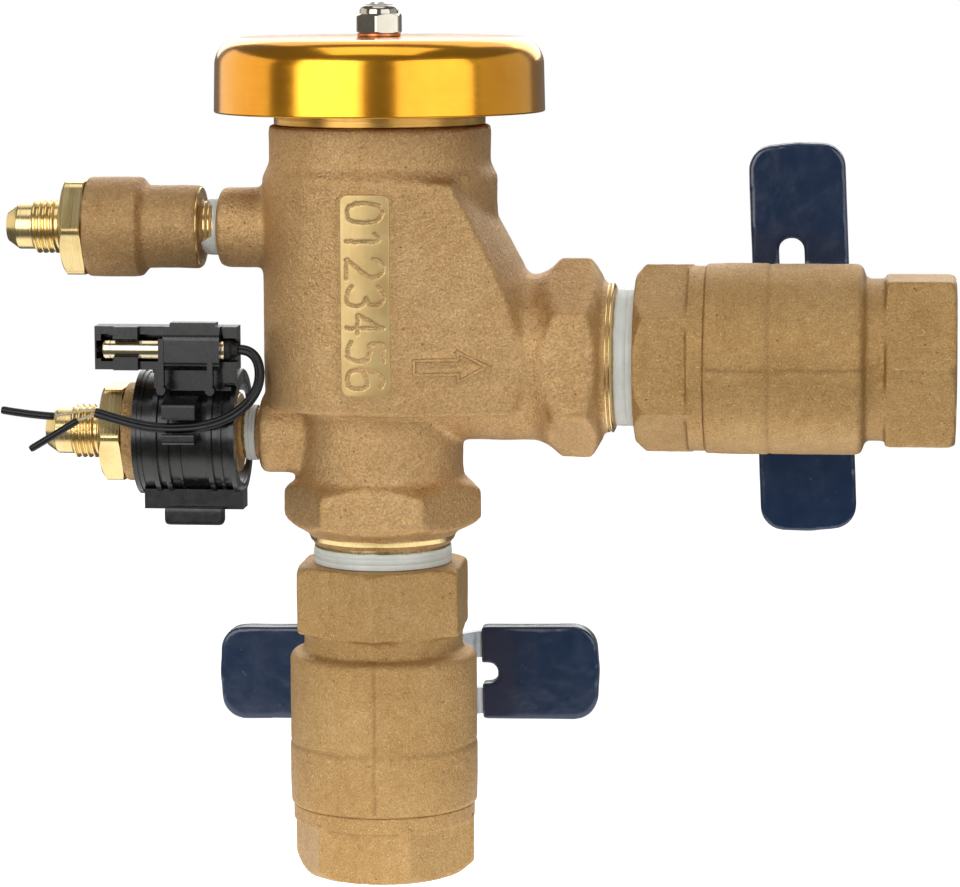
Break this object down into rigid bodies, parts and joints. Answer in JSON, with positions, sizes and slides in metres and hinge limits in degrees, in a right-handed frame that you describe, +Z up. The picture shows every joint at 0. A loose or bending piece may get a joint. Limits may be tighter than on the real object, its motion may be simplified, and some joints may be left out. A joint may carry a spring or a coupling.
{
  "type": "backflow preventer",
  "caption": "Pressure vacuum breaker of cast bronze for irrigation: angle body with gold canopy, shut-off ball valves at inlet and outlet, test cocks and a clip-on sensor.",
  "frame": {"origin": "centre of the inlet port's end face, at the bottom of the assembly", "axes": "+Z up along the body's axis, +X along the outlet, -Y towards the face with the label pad; the valve handles are on the +Y side"},
  "size_m": [0.1951, 0.08, 0.18],
  "materials": {
    "cast_bronze": "sand-cast bronze, matt and grainy",
    "valve_bronze": "shot-blasted forged brass, matt",
    "machined_brass": "turned brass, bright",
    "ball_chrome": "plated and polished",
    "white_ptfe": "sealing tape and seats, waxy",
    "gold_sheet": "pressed sheet with a clear gold anodised coat",
    "stainless": "stainless steel",
    "zinc_steel": "zinc-plated steel strip",
    "blue_vinyl": "dipped navy vinyl, glossy",
    "copper": "washer, copper coloured",
    "black_rubber": "moulded rubber",
    "white_acetal": "moulded acetal",
    "black_nylon": "moulded nylon, satin",
    "black_pvc": "lead insulation",
    "silver_can": "plated tube",
    "tinned_copper": "bare conductor"
  },
  "bodies": {
    "body": {"body_casting": "cast_bronze", "bonnet": "machined_brass", "bonnet_o_ring": "black_rubber", "canopy": "gold_sheet", "canopy_nut": "stainless", "canopy_stud": "stainless", "canopy_washer": "copper", "check_guide": "white_acetal", "check_seat": "white_acetal", "check_seat_o_ring": "black_rubber", "check_spring": "stainless", "clamp_front": "black_nylon", "clamp_hinge_pin": "stainless", "cock_ball_seats": "white_ptfe", "cock_stem_seals": "white_ptfe", "cock_thread_tape": "white_ptfe", "inlet_ball_seats": "white_ptfe", "inlet_gland_nut": "machined_brass", "inlet_stem_seals": "white_ptfe", "inlet_valve_body": "valve_bronze", "inlet_valve_end": "valve_bronze", "lead_bare_wires": "tinned_copper", "lead_boot": "black_rubber", "lead_insulation_tips": "black_pvc", "lower_cock_body": "cast_bronze", "lower_cock_flare_end": "machined_brass", "outlet_ball_seats": "white_ptfe", "outlet_gland_nut": "machined_brass", "outlet_stem_seals": "white_ptfe", "outlet_valve_body": "valve_bronze", "outlet_valve_end": "valve_bronze", "sensor_capsule": "silver_can", "sensor_lead": "black_pvc", "sensor_retainer": "black_nylon", "upper_cock_body": "cast_bronze", "upper_cock_flare_end": "machined_brass", "valve_thread_tape": "white_ptfe", "vent_spring": "stainless"},
    "inlet_handle": {"inlet_handle": "zinc_steel", "inlet_handle_grips": "blue_vinyl", "inlet_handle_nut": "zinc_steel", "inlet_stem": "machined_brass", "inlet_ball": "ball_chrome"},
    "outlet_handle": {"outlet_handle": "zinc_steel", "outlet_handle_grips": "blue_vinyl", "outlet_handle_nut": "zinc_steel", "outlet_stem": "machined_brass", "outlet_ball": "ball_chrome"},
    "upper_cock_stem": {"upper_cock_stem": "machined_brass", "upper_cock_ball": "ball_chrome"},
    "lower_cock_stem": {"lower_cock_stem": "machined_brass", "lower_cock_ball": "ball_chrome"},
    "check_poppet": {"check_poppet": "white_acetal", "check_disc": "black_rubber", "check_disc_screw": "stainless"},
    "vent_poppet": {"vent_poppet": "white_acetal", "vent_disc": "black_rubber", "vent_disc_retainer": "stainless"},
    "clamp_back": {"clamp_back": "black_nylon"}
  },
  "joints": [
    {"name": "inlet_valve_turn", "type": "hinge", "parent": "body", "child": "inlet_handle", "pos_m": [0, 0.036, 0.0331], "axis": [0, 1, 0], "range_deg": [0, 90.9]},
    {"name": "outlet_valve_turn", "type": "hinge", "parent": "body", "child": "outlet_handle", "pos_m": [0.08575, 0.036, 0.10756], "axis": [0, 1, 0], "range_deg": [0, 92.3]},
    {"name": "upper_cock_turn", "type": "hinge", "parent": "body", "child": "upper_cock_stem", "pos_m": [-0.0522, 0.012, 0.13405], "axis": [0, 1, 0], "range_deg": [0, 90]},
    {"name": "lower_cock_turn", "type": "hinge", "parent": "body", "child": "lower_cock_stem", "pos_m": [-0.0447, 0.012, 0.0914], "axis": [0, 1, 0], "range_deg": [0, 90]},
    {"name": "check_lift", "type": "slide", "parent": "body", "child": "check_poppet", "axis": [0, 0, 1], "range_m": [0, 0.008], "stiffness_N_per_m": 150, "springref_m": -0.015, "deforming": ["check_spring"]},
    {"name": "vent_lift", "type": "slide", "parent": "body", "child": "vent_poppet", "axis": [0, 0, 1], "range_m": [0, 0.006], "stiffness_N_per_m": 100, "springref_m": -0.01, "deforming": ["vent_spring"]},
    {"name": "clamp_swing", "type": "hinge", "parent": "body", "child": "clamp_back", "pos_m": [-0.0385, 0.003, 0.1063], "axis": [1, 0, 0], "range_deg": [0, 70]}
  ]
}
